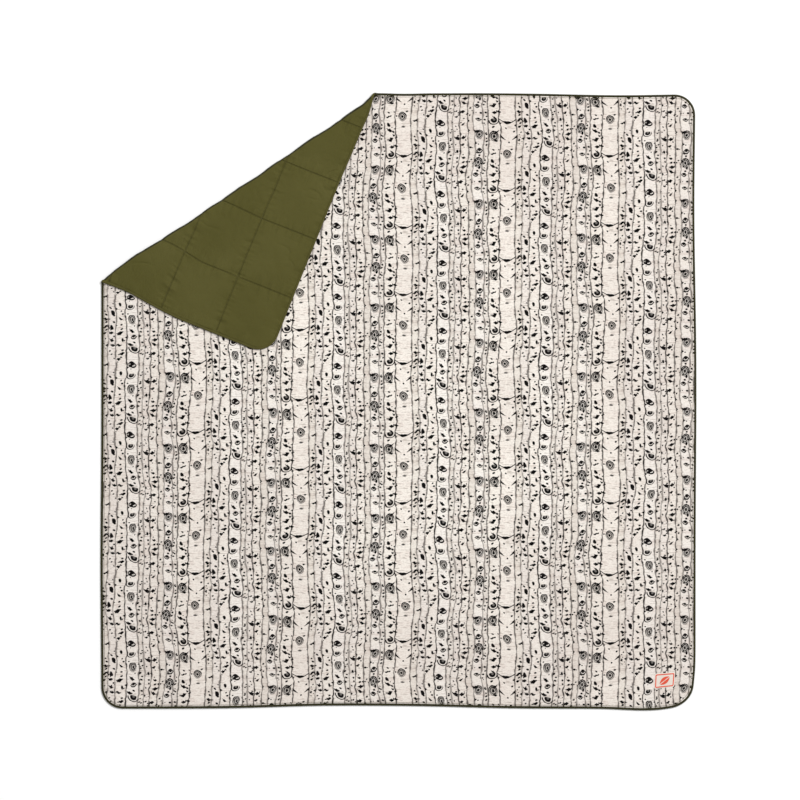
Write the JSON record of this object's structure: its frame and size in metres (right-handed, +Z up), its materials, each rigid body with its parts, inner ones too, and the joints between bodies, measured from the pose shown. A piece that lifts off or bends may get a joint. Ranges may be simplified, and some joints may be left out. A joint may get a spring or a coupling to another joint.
{
  "type": "camp blanket",
  "caption": "Quilted camp blanket lying flat, with a printed face, an olive backing, a bound edge and a corner that folds over.",
  "frame": {"origin": "centre of the flat blanket's outline, on the surface it lies on", "axes": "+Z up, +Y along the longer side towards the edge with the turned corner, +X towards the right with the turned corner at the left"},
  "size_m": [2.01, 2.08, 0.0203],
  "materials": {
    "face": "matt printed polyester, cream with brown birch trunks",
    "backing": "slightly sheened olive polyester taffeta",
    "batting": "white lofted polyester fibre",
    "binding": "olive woven tape",
    "thread": "dark olive sewing thread",
    "label": "cream woven label",
    "label_thread": "salmon red embroidery thread"
  },
  "bodies": {
    "blanket": {"face_panel": "face", "batting_panel": "batting", "backing_panel": "backing", "binding_stitch": "thread", "binding_left": "binding", "binding_bottom": "binding", "binding_right": "binding", "binding_top": "binding", "quilt_row_01": "thread", "quilt_row_02": "thread", "quilt_row_03": "thread", "quilt_row_04": "thread", "quilt_row_05": "thread", "quilt_row_06": "thread", "quilt_row_07": "thread", "quilt_row_08": "thread", "quilt_row_09": "thread", "quilt_row_10": "thread", "quilt_column_01": "thread", "quilt_column_02": "thread", "quilt_column_03": "thread", "quilt_column_04": "thread", "quilt_column_05": "thread", "quilt_column_06": "thread", "quilt_column_07": "thread", "quilt_column_08": "thread", "quilt_column_09": "thread", "woven_label": "label", "label_stitch": "label_thread", "face_bend": "face", "batting_bend": "batting", "backing_bend": "backing", "binding_bend_side": "binding", "binding_bend_top": "binding"},
    "corner_flap": {"flap_face_panel": "face", "flap_batting_panel": "batting", "flap_backing_panel": "backing", "flap_binding_stitch": "thread", "flap_binding_side": "binding", "flap_binding_top": "binding", "flap_quilt_row_01": "thread", "flap_quilt_row_02": "thread", "flap_quilt_column_01": "thread", "flap_quilt_column_02": "thread", "flap_quilt_column_03": "thread", "flap_quilt_column_04": "thread"}
  },
  "joints": [
    {"name": "corner_fold", "type": "hinge", "parent": "blanket", "child": "corner_flap", "pos_m": [-0.542, 0.727, 0.01015], "axis": [-0.8285, -0.5601, 0], "range_deg": [0, 180], "deforming": ["face_bend", "batting_bend", "backing_bend", "binding_bend_side", "binding_bend_top"]}
  ]
}
